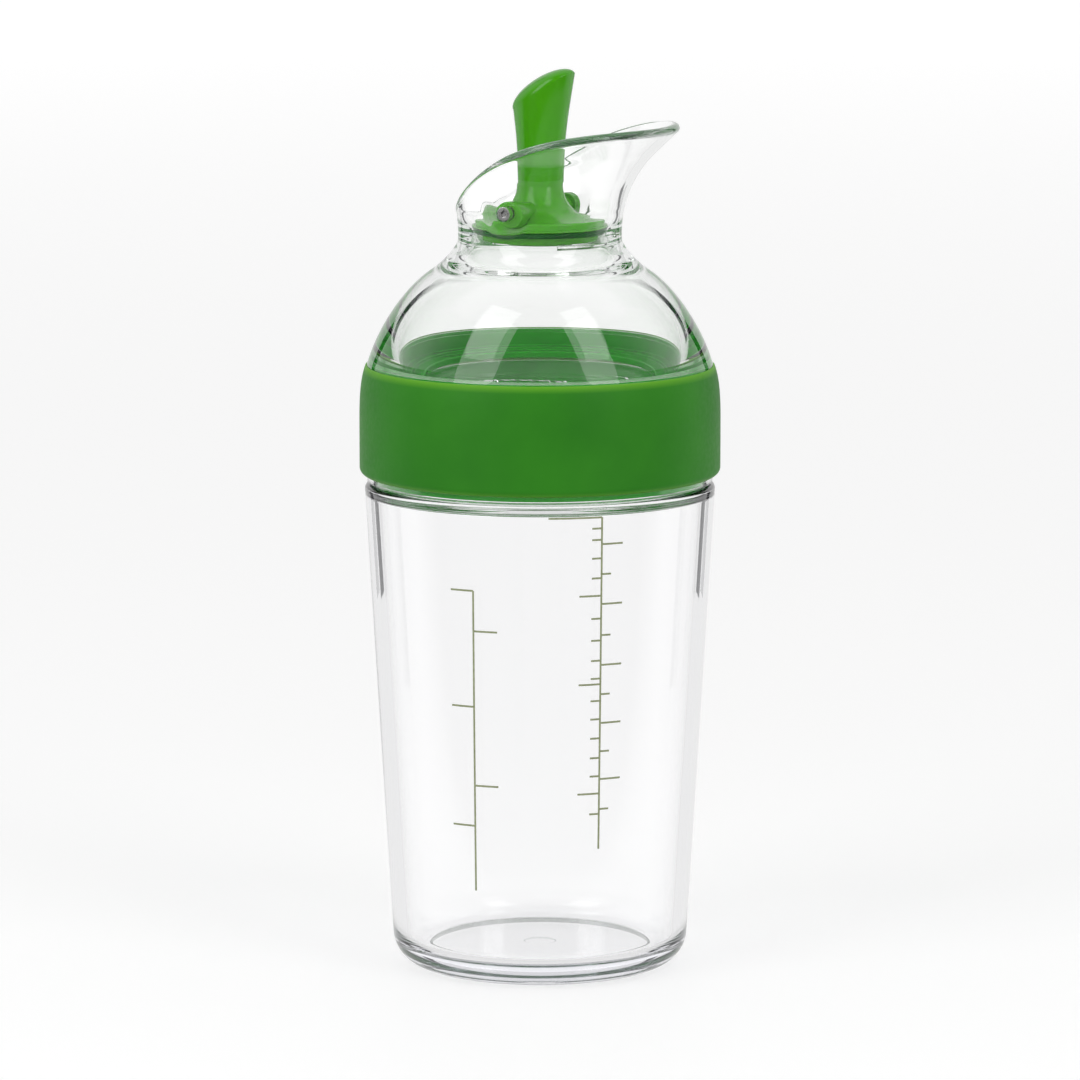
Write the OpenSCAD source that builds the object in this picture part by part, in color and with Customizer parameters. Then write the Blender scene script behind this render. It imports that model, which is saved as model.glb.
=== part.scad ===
// Salad dressing shaker bottle: a clear tapered cup, a screw-on pouring lid with a soft
// grip band, and a tilting stopper that opens the spout.
// Millimetres, +Z up. The origin is the middle of the foot, on the surface it stands on.
// The spout points along +X and the stopper's hinge pin lies along Y.

/* [Bottle] */
// Outside radius of the cup's cone where it would meet the table
cup_base_r = 33.25; // [30:0.05:36]
// How far the cup's shoulder stands out past the lid's skirt
shoulder_out = 0.7; // [0.3:0.05:1.2]
// Height of the shoulder above the table
shoulder_z = 111; // [80:0.5:160]
// Radius of the rounded edge at the shoulder
shoulder_round = 1.2; // [0.6:0.1:2]
// Radius of the rounded edge under the cup
base_round = 7.4; // [4:0.1:9]
// Thickness of the cup's wall
cup_wall = 3.4; // [2:0.1:4.4]
// Height of the cup's inside floor above the table
floor_z = 5.5; // [4:0.1:9]
// Radius of the corner between the inside floor and wall
floor_round = 3; // [1.5:0.1:5]
// Width of the flat ring that the cup stands on
foot_w = 1.2; // [0.8:0.1:4]
// Depth of the recess under the cup
recess_depth = 1.2; // [0.4:0.1:2]
// Radius of the moulding mark in the middle of the recess
gate_r = 3.6; // [2:0.1:6]
// Depth of the moulding mark
gate_depth = 0.4; // [0.2:0.1:0.8]
// Thickness of the neck's wall
neck_wall = 2.8; // [2:0.1:3.4]
// Height of the neck above the shoulder
neck_h = 16.4; // [12:0.1:22]
// Height over which the inside narrows from the wall to the neck
inner_shoulder_h = 4; // [3:0.1:8]

/* [Lid] */
// Outside radius of the grip band
band_r = 41; // [36:0.05:46]
// Thickness of the grip band
band_t = 1.7; // [1.4:0.05:3]
// Thickness of the clear skirt under the band
skirt_wall = 1.75; // [1.2:0.05:2.2]
// Gap between the bottle's shoulder and the lid's lower edge
joint_gap = 0.5; // [0.3:0.05:1]
// Length of clear skirt that shows below the band
skirt_show = 1.65; // [0.4:0.05:2.2]
// Height of the grip band
band_h = 24.8; // [22:0.05:30]
// Radius of the band's rounded lower edge
band_round = 1.6; // [0.6:0.1:1.6]
// Width of the band's flat top edge
band_lip = 0.35; // [0.3:0.05:0.8]
// Height over which the band curves in to its top edge
band_curve_h = 12.4; // [6:0.1:14]
// Thickness of the collar round its thread
collar_wall = 2.25; // [1.6:0.05:3]
// Radial room for the thread between the neck and the collar
thread_room = 1.6; // [1.2:0.1:2]
// Thickness of the sealing ring on the bottle's rim
gasket_t = 1.6; // [1:0.1:2.4]
// Thickness of the collar's ledge that presses on the sealing ring
ledge_t = 2.2; // [1.4:0.1:3]
// How far the collar's ledge reaches in past the neck's bore
ledge_reach = 3.6; // [1.5:0.1:6]
// Thickness of the collar above its ledge
collar_top_wall = 4.35; // [3.6:0.05:5.6]
// Radial width of the low step round the ledge
step_w = 2.5; // [1.2:0.1:2.8]
// Height of the low step round the ledge
step_h = 1; // [0.5:0.1:2]
// Height of the collar's upper wall over its ledge
collar_top_h = 6.6; // [5:0.1:9]
// Bevel on the collar's upper inside edge
collar_bevel = 1; // [0.4:0.1:1.6]

/* [Dome and spout] */
// Height from the dome's foot to the bottom of the straight neck
dome_h = 28.6; // [24:0.1:34]
// How far the neck's outside stands out past the stopper's seal
spout_neck_out = 2.85; // [2.4:0.05:4]
// Depth of the seat's lower edge under the straight neck
seat_drop = 1.4; // [0.8:0.1:2]
// Height of the neck over the dome's waist, where its curve turns
waist_drop = 7; // [5:0.5:10]
// How far the dome stands out past the neck at its waist
waist_out = 5.95; // [4:0.05:8]
// Thickness of the dome's wall at its waist, measured level
waist_wall = 5.4; // [4:0.1:6.5]
// Height of the straight neck
spout_neck_h = 1.6; // [1:0.1:4]
// Radius of the curve in which the spout flares
flare_r = 25; // [20:0.5:32]
// Steepest angle of the flare from upright
flare_angle = 46; // [38:1:52]
// Thickness of the spout's wall
spout_wall = 2.2; // [1.6:0.1:2.4]
// Radius of the arc that the rim follows, seen from the side
rim_arc_r = 74.7; // [68:0.1:84]
// Height of the top of the rim's arc over the hinge
rim_top_h = 17.9; // [14:0.1:21]
// Distance from the bottle's axis to the top of the rim's arc
rim_top_x = 31.3; // [26:0.1:36]
// How far the stop ledge reaches in under the stopper's plug
stop_lap = 1.3; // [0.6:0.1:2.2]
// Half of the angle over which the stop ledge runs
stop_half_angle = 50; // [30:1:54]
// Thickness of the stop ledge
stop_t = 1.1; // [0.8:0.1:1.6]

/* [Stopper] */
// Outside radius of the stopper's seal
seal_r = 15.7; // [14:0.05:17.5]
// How far the seal stands out past the flange
seal_out = 0.2; // [0.1:0.05:0.5]
// Thickness of the flange
flange_t = 0.5; // [0.4:0.1:1]
// How far the raised tier is set in from the flange
tier_in = 0.8; // [0.4:0.1:2]
// Height of the raised tier at its edge
tier_h = 1.8; // [1.2:0.1:2.2]
// Thickness of the stopper's seal
seal_t = 1.2; // [0.8:0.1:1.4]
// How far the plug is set in from the seal's edge
plug_in = 1.8; // [1.4:0.1:2.5]
// Thickness of the plug's edge
plug_t = 1.5; // [1:0.1:2]
// Height of the stop ledge's top over the seat's lower edge
stop_rise = 1.1; // [0.4:0.1:1.6]
// Height of the hinge over the flange's underside
hinge_h = 4.6; // [4.2:0.1:5.2]
// Height of the lever's tip over the hinge
lever_h = 31.35; // [24:0.05:38]
// Half of the stem's width at its narrowest
stem_half = 5.15; // [4.4:0.05:5.6]
// Half of the head's length along the slope of its top
head_half = 8.5; // [7:0.1:8.8]
// Slope of the lever's top
head_slope = 32.5; // [20:0.5:38]
// Radius of the hinge barrels
barrel_r = 2.2; // [2.2:0.1:2.6]
// Radius of the collars at the barrels' ends
barrel_end_r = 3; // [2.7:0.1:3.4]
// Length of the collars at the barrels' ends
barrel_end_l = 3; // [2:0.1:4]

/* [Hinge pin] */
// Radius of the hinge pin
pin_r = 1.65; // [1.2:0.05:1.7]
// Depth of the dimple in each end of the pin
dimple = 0.5; // [0.2:0.1:1]
// Outside radius of the bosses that hold the pin
boss_r = 3.8; // [3:0.1:4.2]
// Length of each boss
boss_l = 3; // [2.4:0.05:3.4]
// How far the bosses' faces stand out past the neck
boss_out = 1.05; // [0.6:0.05:2]
// How far the pin's ends are set in from the bosses' faces
pin_in = 0.4; // [0.2:0.1:0.8]

/* [Fits] */
// Radial running clearance between the pin and the barrels
pin_play = 0.08; // [0.03:0.01:0.1]
// Radial clearance of the pin in its bosses
pin_fit = 0.03; // [0.01:0.01:0.05]
// Gap between the barrels' ends and the bosses
barrel_gap = 0.35; // [0.3:0.05:0.8]
// Gap between the stopper's seal and its spherical seat
seal_gap = 0.12; // [0.08:0.01:0.2]
// Gap between two parts that are assembled for good
fit_gap = 0.05; // [0.02:0.01:0.1]
// Gap between the sealing ring's edge and the collar
gasket_play = 0.15; // [0.05:0.05:0.3]
// Gap between the plug and the stop ledge under it
stop_gap = 0.3; // [0.3:0.05:0.6]

/* [Hidden] */
$fn = 96;
arc_steps = 8;
curve_steps = 12;
over = 1;

// Radii, from the band inwards
skirt_r = band_r - band_t - fit_gap;
skirt_in_r = skirt_r - skirt_wall;
collar_r = skirt_in_r - fit_gap;
collar_bore_r = collar_r - collar_wall;
collar_in_r = collar_r - collar_top_wall;
cup_top_r = skirt_r + shoulder_out;
taper = (cup_top_r - cup_base_r) / shoulder_z;
slant = sqrt(1 + taper * taper);
neck_r = collar_bore_r - thread_room;
neck_in_r = neck_r - neck_wall;
neck_top = shoulder_z + neck_h;
neck_edge = 0.6;
ledge_r = neck_in_r - ledge_reach;

// Lid heights, from the bottle upwards
lid_z = shoulder_z + joint_gap;
band_z = lid_z + skirt_show;
band_top = band_z + band_h;
ledge_z = neck_top + gasket_t + 2 * fit_gap;
ledge_top = ledge_z + ledge_t;
collar_top = ledge_top + collar_top_h;
dome_foot = collar_top + fit_gap;
collar_rise = 0.4;

// Spout heights, from the dome's foot upwards
neck_low = dome_foot + dome_h;
waist_z = neck_low - waist_drop;
flare_z = neck_low + spout_neck_h;
throat_z = neck_low - seat_drop;
stop_z = throat_z + stop_rise;
plug_z = stop_z + stop_gap;
seal_z = plug_z + plug_t;
flange_z = seal_z + seal_t;
hinge_z = flange_z + hinge_h;
spout_over = 10;
spout_top = hinge_z + rim_top_h + spout_over;

// Stopper
flange_r = seal_r - seal_out;
tier_r = flange_r - tier_in;
plug_r = seal_r - plug_in;
stop_r = plug_r - stop_lap;
spout_neck_r = seal_r + spout_neck_out;
waist_r = spout_neck_r + waist_out;
seat_r = norm([seal_r, hinge_z - seal_z]) + seal_gap;
throat_r = sqrt(seat_r * seat_r - pow(hinge_z - throat_z, 2));
tier_z = flange_z + flange_t;
tier_top = tier_z + tier_h;
boss_face = spout_neck_r + boss_out;
boss_in = boss_face - boss_l;
barrel_half = boss_in - barrel_gap;
spigot_r = plug_r - 4;
stud_r = 5;
hub_r = stud_r + 2.5;
hub_t = 0.75;
stud_h = 2.15;
edge = 0.2;

// Lever
stem_low = hinge_z + 3.2;
stem_join = hinge_z + 3.4;
lever_sides = 32;
stem_steps = 12;
cap_steps = 6;
cap_h = 3.35;
crown_x = 1.03;
stem_x = 0.2;
head_swell = 0.75;
swell_power = 2.8;
slope_power = 1.7;

// Points along an arc of radius r round c, from angle a to angle b
function arc(c, r, a, b, n = arc_steps) =
    [for (i = [0:n]) let (t = a + (b - a) * i / n) c + r * [cos(t), sin(t)]];

// Points along a cubic curve from p to s, pulled towards q and r
function curve(p, q, r, s, n = curve_steps) =
    [for (i = [0:n]) let (t = i / n, u = 1 - t)
        u * u * u * p + 3 * u * u * t * q + 3 * u * t * t * r + t * t * t * s];

// Radius of the cup's cone at a height, set in from its outside by a wall
function cone_r(z, wall = 0) = cup_base_r + taper * z - wall * slant;

// Middle of an arc of radius r that touches the cone, set in by a wall, at height z
function corner(z, r, wall = 0) = [cone_r(z, wall) - r * slant, z];

// Cubic curve from p to s, with its handles as shares of the way in x and z
function bend(p, s, a, b, n = curve_steps) =
    let (d = s - p)
    curve(p, p + [a[0] * d[0], a[1] * d[1]], s - [b[0] * d[0], b[1] * d[1]], s, n);

module revolve(points) {
    rotate_extrude() polygon(points);
}

module along_y(length, radius) {
    rotate([90, 0, 0]) cylinder(h = length, r = radius, center = true);
}

// Clear cup with a thick base, a rounded shoulder and a neck
module bottle_body() {
    lean = atan(taper);
    inner_z = shoulder_z - inner_shoulder_h;
    foot = corner(base_round, base_round);
    color([0.93, 0.95, 0.95, 0.35])
    difference() {
        revolve(concat(
            [[0, 0]],
            arc(foot, base_round, -90, -lean),
            arc(corner(shoulder_z - shoulder_round, shoulder_round), shoulder_round, -lean, 90),
            [[neck_r, shoulder_z],
             [neck_r, neck_top - neck_edge],
             [neck_r - neck_edge, neck_top],
             [0, neck_top]]));
        revolve(concat(
            [[0, floor_z]],
            arc(corner(floor_z + floor_round, floor_round, cup_wall), floor_round, -90, -lean),
            bend([cone_r(inner_z, cup_wall), inner_z], [neck_in_r, shoulder_z - edge],
                 [0, 0.64], [0, 0.68]),
            [[neck_in_r, neck_top + over],
             [0, neck_top + over]]));
        translate([0, 0, -over]) cylinder(h = over + recess_depth, r = foot[0] - foot_w);
        cylinder(h = recess_depth + gate_depth, r = gate_r);
    }
}

// Soft sealing ring on the bottle's rim, inside the collar
module lid_gasket() {
    low = neck_top + fit_gap;
    top = low + gasket_t;
    out_r = collar_bore_r - gasket_play;
    bevel = 0.3;
    color([0.75, 0.86, 0.72])
    revolve([[neck_in_r + bevel, low],
             [out_r - bevel, low],
             [out_r, low + bevel],
             [out_r, top - bevel],
             [out_r - bevel, top],
             [neck_in_r + bevel, top],
             [neck_in_r, top - bevel],
             [neck_in_r, low + bevel]]);
}

// Rigid collar in the lid: thread bore below, sealing ledge, stepped wall above
module lid_collar() {
    low = lid_z + collar_rise;
    entry = 1;
    step_r = collar_in_r - step_w;
    color([0.18, 0.50, 0.13])
    revolve([[collar_bore_r + entry, low],
             [collar_r, low],
             [collar_r, collar_top],
             [collar_in_r + collar_bevel, collar_top],
             [collar_in_r, collar_top - collar_bevel],
             [collar_in_r, ledge_top + step_h],
             [step_r, ledge_top + step_h],
             [step_r, ledge_top],
             [ledge_r, ledge_top],
             [ledge_r, ledge_z],
             [collar_bore_r, ledge_z],
             [collar_bore_r, low + entry]]);
}

// Soft band round the lid, curved in at the top
module grip_band() {
    in_r = skirt_r + fit_gap;
    lip_r = in_r + band_lip;
    curve_z = band_top - band_curve_h;
    color([0.20, 0.50, 0.15])
    revolve(concat(
        [[in_r, band_z]],
        arc([band_r - band_round, band_z + band_round], band_round, -90, 0),
        bend([band_r, curve_z], [lip_r, band_top], [0, 0.48], [0.75, 0.23]),
        [[in_r, band_top]]));
}

// Outline of the dome's outside, from the foot to the neck
function dome_outside() =
    let (waist = [waist_r, waist_z])
    concat(
        bend([skirt_r, band_top + band_lip / 2], waist, [0.139, 0.345], [0.454, 0.201]),
        bend(waist, [spout_neck_r, neck_low], [0.437, 0.268], [0.084, 0.32], 6));

// Outline of the dome's inside, from the throat down to the foot
function dome_inside() =
    let (waist = [waist_r - waist_wall, waist_z])
    concat(
        bend([throat_r, throat_z], waist, [0.145, 0.35], [0.531, 0.215], 6),
        bend(waist, [collar_in_r, dome_foot], [0.607, 0.181], [0.007, 0.36]));

// Outside radius of the spout at a height over the flare's start, set in by a wall
function spout_line(wall) =
    let (c = [spout_neck_r + flare_r, flare_z],
         r = flare_r + wall,
         bend = c + r * [-cos(flare_angle), sin(flare_angle)],
         rise = spout_top - bend[1])
    [c, r, bend, bend + [rise * tan(flare_angle), rise]];

// Height over the flare's start where the spherical seat meets the flare's inside
function seat_meet(z, wall) =
    let (c = spout_neck_r + flare_r,
         flare_in = c - sqrt(pow(flare_r + wall, 2) - pow(z - flare_z, 2)),
         ball = sqrt(seat_r * seat_r - pow(z - hinge_z, 2)))
    flare_in >= ball ? z : seat_meet(z + 0.1, wall);

// Clear dome, neck and flared spout in one moulding, with the skirt for the band
module pour_dome() {
    out = spout_line(0);
    in = spout_line(spout_wall);
    meet_z = seat_meet(hinge_z, spout_wall);
    color([0.93, 0.95, 0.95, 0.35])
    difference() {
        union() {
            difference() {
                revolve(concat(
                    [[skirt_in_r, lid_z], [skirt_r, lid_z]],
                    dome_outside(),
                    arc(out[0], out[1], 180, 180 - flare_angle, 10),
                    [out[3], in[3]],
                    arc(in[0], in[1], 180 - flare_angle, 180 - asin((meet_z - flare_z) / in[1]), 8),
                    arc([0, hinge_z], seat_r, asin((meet_z - hinge_z) / seat_r),
                        -asin((hinge_z - throat_z) / seat_r), 8),
                    dome_inside(),
                    [[skirt_in_r, dome_foot]]));
                rim_cut();
            }
            for (side = [-1, 1])
                translate([0, side * (boss_face - boss_l / 2), hinge_z]) along_y(boss_l, boss_r);
            stop_ledge();
        }
        translate([0, 0, hinge_z]) along_y(2 * (boss_face + over), pin_r + pin_fit);
    }
}

// What the slanting, gently arched rim leaves off the spout
module rim_cut() {
    wide = 4 * band_r;
    difference() {
        translate([-wide / 2, -wide / 2, flange_z]) cube([wide, wide, spout_top - flange_z + over]);
        translate([rim_top_x, 0, hinge_z + rim_top_h - rim_arc_r]) along_y(wide + 2 * over, rim_arc_r);
    }
}

// Short ledge that stops the front of the closed stopper
module stop_ledge() {
    bite = 0.9;
    rotate([0, 0, -stop_half_angle])
        rotate_extrude(angle = 2 * stop_half_angle)
            translate([stop_r, stop_z - stop_t]) square([throat_r + bite - stop_r, stop_t]);
}

// Plain steel pin with a dimple in each end
module hinge_pin() {
    half = boss_face - pin_in;
    color([0.78, 0.78, 0.80])
    translate([0, 0, hinge_z])
    difference() {
        along_y(2 * half, pin_r);
        for (side = [-1, 1])
            translate([0, side * half, 0]) along_y(2 * dimple, pin_r * 0.4);
    }
}

// One ring of the lever: its middle, half widths fore and aft and sideways, and slope
function lever_ring(mid, fore, side, slope) =
    [for (i = [0:lever_sides - 1]) let (a = 360 * i / lever_sides)
        [mid[0] + fore * cos(a) * cos(slope), side * sin(a), mid[1] + fore * cos(a) * sin(slope)]];

// Middle of the edge of the lever's rounded top, which puts its tip at lever_h
function crown_mid() =
    [crown_x, hinge_z + lever_h - norm([cap_h * cos(head_slope), head_half * sin(head_slope)])];

// Rings of the lever from the stem's foot to the edge of its rounded top
function lever_rings() =
    let (crown = crown_mid(),
         rise = crown[1] - stem_low)
    [for (i = [0:stem_steps]) let (t = i / stem_steps, s = pow(t, swell_power))
        lever_ring([stem_x + (crown[0] - stem_x) * s, stem_low + rise * t],
                   stem_half + (head_half - stem_half) * s,
                   stem_half + head_swell * t,
                   head_slope * pow(t, slope_power))];

// Rings of the lever's rounded top, which shrink towards the middle
function cap_rings() =
    [for (i = [1:cap_steps]) let (a = 90 * i / (cap_steps + 0.35), k = cos(a), lift = cap_h * sin(a))
        lever_ring(crown_mid() + lift * [-sin(head_slope), cos(head_slope)],
                   head_half * k, (stem_half + head_swell) * k, head_slope)];

// Smooth stem and slanting head of the lever
module lever_stem() {
    rings = concat(lever_rings(), cap_rings());
    n = len(rings);
    m = lever_sides;
    points = [for (ring = rings) each ring];
    faces = concat(
        [[for (i = [0:m - 1]) i]],
        [for (k = [0:n - 2]) for (i = [0:m - 1])
            each [[k * m + i, (k + 1) * m + i, (k + 1) * m + (i + 1) % m],
                  [k * m + i, (k + 1) * m + (i + 1) % m, k * m + (i + 1) % m]]],
        [[for (i = [m - 1:-1:0]) (n - 1) * m + i]]);
    polyhedron(points, faces);
}

// Lever, flared disc and hinge barrels in one moulding
module stopper_lever() {
    foot_r = stem_half + 0.1;
    tier_edge = 0.45;
    color([0.25, 0.60, 0.08])
    difference() {
        union() {
            revolve(concat(
                [[0, seal_z - stud_h], [stud_r, seal_z - stud_h], [stud_r, seal_z + fit_gap],
                 [spigot_r, seal_z + fit_gap], [spigot_r, flange_z],
                 [flange_r - edge, flange_z], [flange_r, flange_z + edge],
                 [flange_r, tier_z - edge], [flange_r - edge, tier_z],
                 [tier_r, tier_z], [tier_r, tier_top - tier_edge]],
                bend([tier_r - tier_edge, tier_top], [foot_r, stem_join], [0.61, 0.25], [0, 0.58]),
                [[foot_r - 2 * edge, stem_join + 4 * edge], [0, stem_join + 4 * edge]]));
            translate([0, 0, hinge_z]) {
                along_y(2 * barrel_half, barrel_r);
                for (side = [-1, 1])
                    translate([0, side * (barrel_half - barrel_end_l / 2), 0])
                        along_y(barrel_end_l, barrel_end_r);
            }
            lever_stem();
        }
        translate([0, 0, hinge_z]) along_y(2 * barrel_half + 2 * over, pin_r + pin_play);
    }
}

// Seal ring clamped under the stopper's flange
module stopper_gasket() {
    bevel = 0.3;
    color([0.05, 0.30, 0.08])
    revolve([[spigot_r + fit_gap, seal_z + fit_gap],
             [seal_r - bevel, seal_z + fit_gap],
             [seal_r, seal_z + bevel],
             [seal_r, flange_z - bevel],
             [seal_r - bevel, flange_z - fit_gap],
             [spigot_r + fit_gap, flange_z - fit_gap]]);
}

// Plug that snaps on the stopper's stud and holds the seal
module stopper_plug() {
    hub_z = seal_z - stud_h - fit_gap - hub_t;
    color([0.20, 0.55, 0.10])
    revolve([[0, hub_z],
             [hub_r, hub_z],
             [hub_r, plug_z],
             [plug_r - edge, plug_z],
             [plug_r, plug_z + edge],
             [plug_r, seal_z - edge],
             [plug_r - edge, seal_z],
             [stud_r + fit_gap, seal_z],
             [stud_r + fit_gap, hub_z + hub_t],
             [0, hub_z + hub_t]]);
}

bottle_body();
lid_gasket();
lid_collar();
grip_band();
pour_dome();
hinge_pin();
stopper_lever();
stopper_gasket();
stopper_plug();
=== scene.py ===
"""Looks of the clear shaker bottle: smooth meshes, materials, studio light and camera.

Shapes are worked out in millimetres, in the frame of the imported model, and scaled to metres at the end.
"""
import math

import bmesh
import bpy
from mathutils import Matrix, Vector


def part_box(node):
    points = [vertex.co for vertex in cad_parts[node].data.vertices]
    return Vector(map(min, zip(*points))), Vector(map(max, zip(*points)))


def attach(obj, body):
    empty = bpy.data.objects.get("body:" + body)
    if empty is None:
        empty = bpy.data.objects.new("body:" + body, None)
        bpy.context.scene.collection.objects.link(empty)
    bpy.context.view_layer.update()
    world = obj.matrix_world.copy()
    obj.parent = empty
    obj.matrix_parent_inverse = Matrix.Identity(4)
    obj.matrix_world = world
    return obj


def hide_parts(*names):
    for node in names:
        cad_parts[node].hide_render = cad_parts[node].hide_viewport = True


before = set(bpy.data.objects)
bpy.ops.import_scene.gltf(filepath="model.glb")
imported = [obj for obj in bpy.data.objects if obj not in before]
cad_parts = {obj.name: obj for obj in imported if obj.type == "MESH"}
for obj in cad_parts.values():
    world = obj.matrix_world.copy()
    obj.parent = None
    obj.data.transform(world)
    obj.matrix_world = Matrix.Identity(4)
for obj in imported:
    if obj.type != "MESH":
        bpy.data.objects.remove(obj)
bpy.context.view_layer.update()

MM = 0.001

# Camera, in millimetres and degrees; the focal length is in pixels of the photograph
PHOTO_PX = 1080
FOCAL_PX = 6366
SENSOR_MM = 36
CAMERA_AZIMUTH = 25
CAMERA_DISTANCE = 1432.6
CAMERA_HEIGHT = 320.65
CAMERA_PITCH = 8.85

# Bottle
CUP_BASE_R = 33.25
BASE_ROUND = 7.4
FOOT_W = 1.2
FOOT_FILLET = 0.35
RECESS_DEPTH = 1.2
GATE_R = 3.6
GATE_DEPTH = 0.4
GATE_FILLET = 0.1
CUP_WALL = 3.4
FLOOR_Z = 5.5
FLOOR_ROUND = 3
SHOULDER_ROUND = 1.2
SHOULDER_BELOW_SKIRT = 0.5
SHOULDER_WALL = 1.8
INNER_RISE = 0.3
INNER_ROUND = 0.9
NECK_R = 33.6
NECK_WALL = 2.8
NECK_FILLET = 0.5
GASKET_BEVEL = 0.35
LIP_IN_ROUND = 0.7
LIP_OUT_ROUND = 0.9

# Thread of the lid: two starts, right-handed
THREAD_LEAD = 10
THREAD_PITCH = 5
THREAD_H = 1.3
COLLAR_THREAD_H = 1.1
THREAD_FOOT = 1.0
THREAD_CREST = 0.45
THREAD_FADE = 3
THREAD_START = 0.15
THREAD_STEP = 0.22
NECK_PLAIN_FOOT = 1.6
NECK_PLAIN_TOP = 4.6
COLLAR_PLAIN_FOOT = 1.3
COLLAR_PLAIN_TOP = 6.5

# Lid
SKIRT_WALL = 1.75
COLLAR_BORE_R = 35.2
COLLAR_IN_R = 33.1
LEDGE_R = 27.2
LEDGE_Z = 129.1
LEDGE_T = 2.2
STEP_W = 2.5
STEP_H = 1
COLLAR_BEVEL = 1
COLLAR_LEAD_IN = 1
BAND_T = 1.7
BAND_ROUND = 1.6
BAND_CURVE_H = 12.4
BAND_LIP = 0.35
BAND_LIP_CUT = 0.12
BAND_HANDLES = ((0, 0.48), (0.75, 0.23))
FIT_GAP = 0.05

# Dome and spout; handles are shares of a curve's way in radius and height
DOME_H = 28.6
DOME_OUT_HANDLES = ((0.139, 0.345), (0.454, 0.201))
NECK_OUT_HANDLES = ((0.437, 0.268), (0.084, 0.32))
NECK_IN_HANDLES = ((0.1, 0.35), (0.79, 0.215))
DOME_IN_HANDLES = ((0.607, 0.181), (0.007, 0.36))
SKIRT_FILLET = 0.35
SPOUT_NECK_R = 18.55
SPOUT_NECK_H = 1.6
WAIST_DROP = 7
WAIST_OUT = 5.95
WAIST_WALL = 5.4
SEAT_DROP = 1.4
SEAT_GAP = 0.12
THROAT_GAP = 0.1
SEAT_BLEND = 0.3
SEAT_TAPER = 0.5
FLARE_R = 25
FLARE_ANGLE = 46
SPOUT_WALL = 2.2
RIM_ARC_R = 74.7
RIM_TOP_H = 17.9
RIM_TOP_X = 31.3
RIM_ROUND = 0.95
STOP_R = 12.6
STOP_HALF_ANGLE = 50
STOP_T = 1.1
STOP_RISE = 1.1
STOP_GAP = 0.3
STOP_EDGE = 0.02
STOP_ROUND = 0.15
STOP_EASE = 3
BOSS_R = 3.8
BOSS_OUT = 1.05
BOSS_SPREAD = 2.2
BOSS_STEEPNESS = 1.8
WELD = 0.1
GROOVE_R = 2.45
GROOVE_DEPTH = 0.02
GROOVE_H = 6
GROOVE_EDGE = 1.6

# Stopper
SEAL_PROUD = 0.2
SEAL_BEVEL = 0.3
FLANGE_T = 0.5
TIER_IN = 0.8
TIER_H = 1.8
STUD_R = 5
STUD_H = 2.15
SPIGOT_R = 9.9
HUB_R = 7.5
HUB_T = 0.75
STEM_HALF = 5.15
FOOT_RISE = 6.2
FOOT_PROUD = 0.06
DISC_EDGE = 0.9
DISC_HANDLES = ((0.66, 0.12), (0, 0.6))
STEM_LOW = 3.2
STEM_CLEAR = 0.4
HEAD_HALF = 8.5
HEAD_SLOPE = 32.5
HEAD_SWELL = 0.75
SWELL_POWER = 2.8
SLOPE_POWER = 1.7
CROWN_X = 1.03
STEM_X = 0.2
CAP_H = 3.35
BARREL_R = 2.2
BARREL_END_R = 3
BARREL_END_L = 3
BARREL_HALF = 16.25
PIN_PLAY = 0.08
PIN_FIT = 0.03
PIN_ROUND = 0.18
DIMPLE = 0.5
DIMPLE_SHARE = 0.4
DIMPLE_FILLET = 0.1
DIMPLE_EDGE = 0.12

# Printed lines: heights on the cup, and angles round it from the camera's side
PRINT_LINE = 0.44
PRINT_PROUD = 0.03
PRINT_SUNK = 0.01
PRINT_FACING = CAMERA_AZIMUTH - 90
RIGHT_SCALE = {"low": (21.8, 32.6), "high": (20.3, 108.5)}
LEFT_SCALE = {"low": (-24.5, 22.8), "high": (-22.6, 91.7)}
LONG_TICK = 5.1
SHORT_TICK = 2.3
LEFT_TICK = 5.6
TOP_TICK = 12.2
RIGHT_LONG = (102.4, 88.8, 74.9, 61.6, 48.7)
RIGHT_SHORT = (95.6, 81.7, 68.2, 55.1, 41.8)
RIGHT_BACK_LONG = (90.7, 70.5, 45.4)
RIGHT_BACK_SHORT = (106.0, 103.4, 99.2, 94.7, 85.5, 80.5, 75.9, 71.8, 66.7, 62.5, 58.1, 53.6, 49.4, 40.7)
LEFT_RIGHT_TICKS = (82.5, 47.1)
LEFT_LEFT_TICKS = (91.7, 65.2, 37.8)

# Studio, in metres: how white things look, and how bright each side is in mirrored light
LIGHT_BOUNCES = 24
FLOOR_HALF = 6.0
FLOOR_DROP = 0.00002
FLOOR_NEAR = 0.3
FLOOR_FAR = 3.0
FLOOR_WHITE = 2.25
FLOOR_WHITE_FAR = 3.2
FLOOR_SHARE = 0.2
FLOOR_TURN = (0.02, 0.1)
WORLD_TURN = (-0.15, 0.35)
CLEAR_LIFT = 0.1
LAMP_LEVEL = 0.55
BACK_LEVEL = 0.85
FRONT_LEVEL = 0.06
INNER_FRONT_LEVEL = 0.52
FLAG_AZIMUTH = 38
FLAG_SPREAD = 7
FLAG_DISTANCE = 0.45
FLAG_TALL = 0.7
FLAG_DARK = (0.03, 0.03, 0.035, 1)
BOX_DISTANCE = 1.15
BOX_HEIGHT = 0.85
BOX_TALL = 1.5
BOX_RADIANCE = 2.3
BOX_AIM_Z = 0.12

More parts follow.
